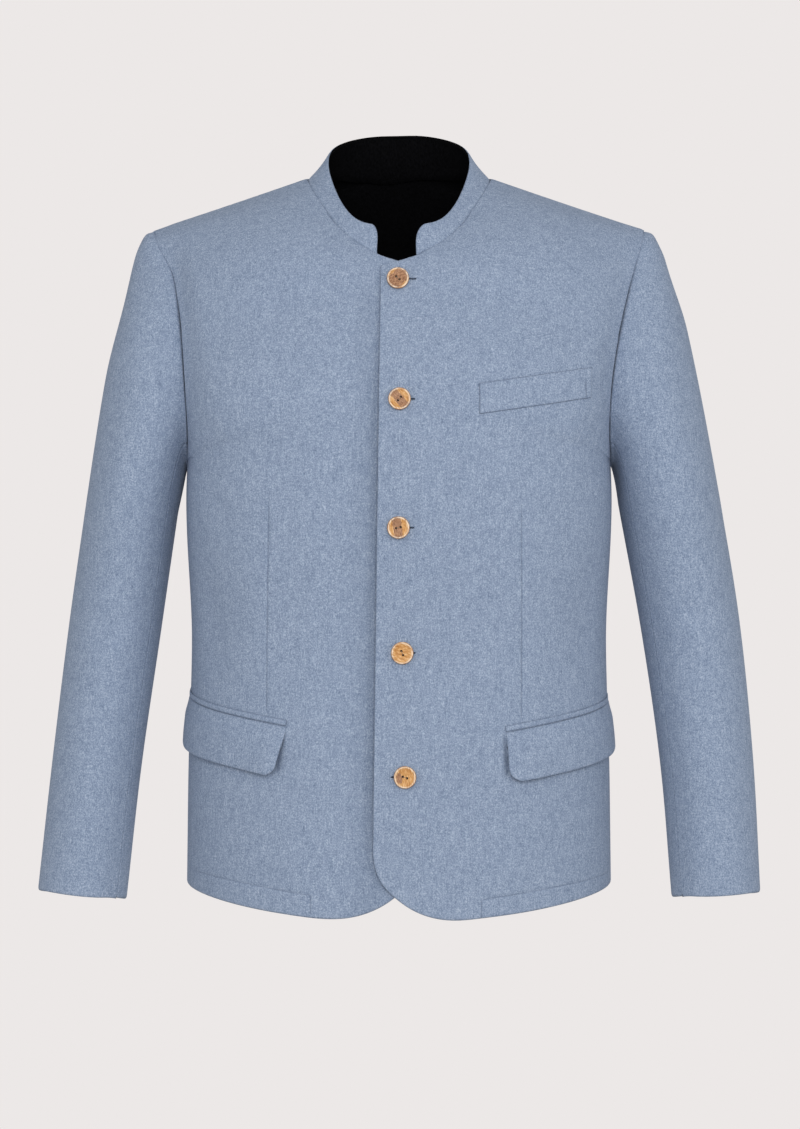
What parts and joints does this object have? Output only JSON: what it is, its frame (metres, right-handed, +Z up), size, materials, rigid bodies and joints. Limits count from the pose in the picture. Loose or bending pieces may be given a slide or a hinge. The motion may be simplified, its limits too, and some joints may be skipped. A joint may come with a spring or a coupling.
{
  "type": "jacket",
  "caption": "Hollow wool jacket with a stand collar, lapped buttoned front, slanted flap pockets, a breast welt and two-piece sleeves, filled out as worn.",
  "frame": {"origin": "middle of the neck opening, level with the neck ends of the shoulder seams, where the wearer's shoulders hold the jacket up", "axes": "+Z up the body, front facing -Y, wearer's left towards +X"},
  "size_m": [0.6933, 0.2558, 0.7568],
  "materials": {
    "wool": "matt melange wool",
    "horn": "satin streaked horn"
  },
  "bodies": {
    "root": {"front_left": "wool", "front_right": "wool", "back": "wool", "sleeve_left_top": "wool", "sleeve_left_under": "wool", "sleeve_right_top": "wool", "sleeve_right_under": "wool", "collar": "wool", "flap_left": "wool", "flap_right": "wool", "jet_left": "wool", "jet_right": "wool", "breast_welt": "wool", "button_1": "horn", "button_2": "horn", "button_3": "horn", "button_4": "horn", "button_5": "horn"}
  },
  "joints": []
}
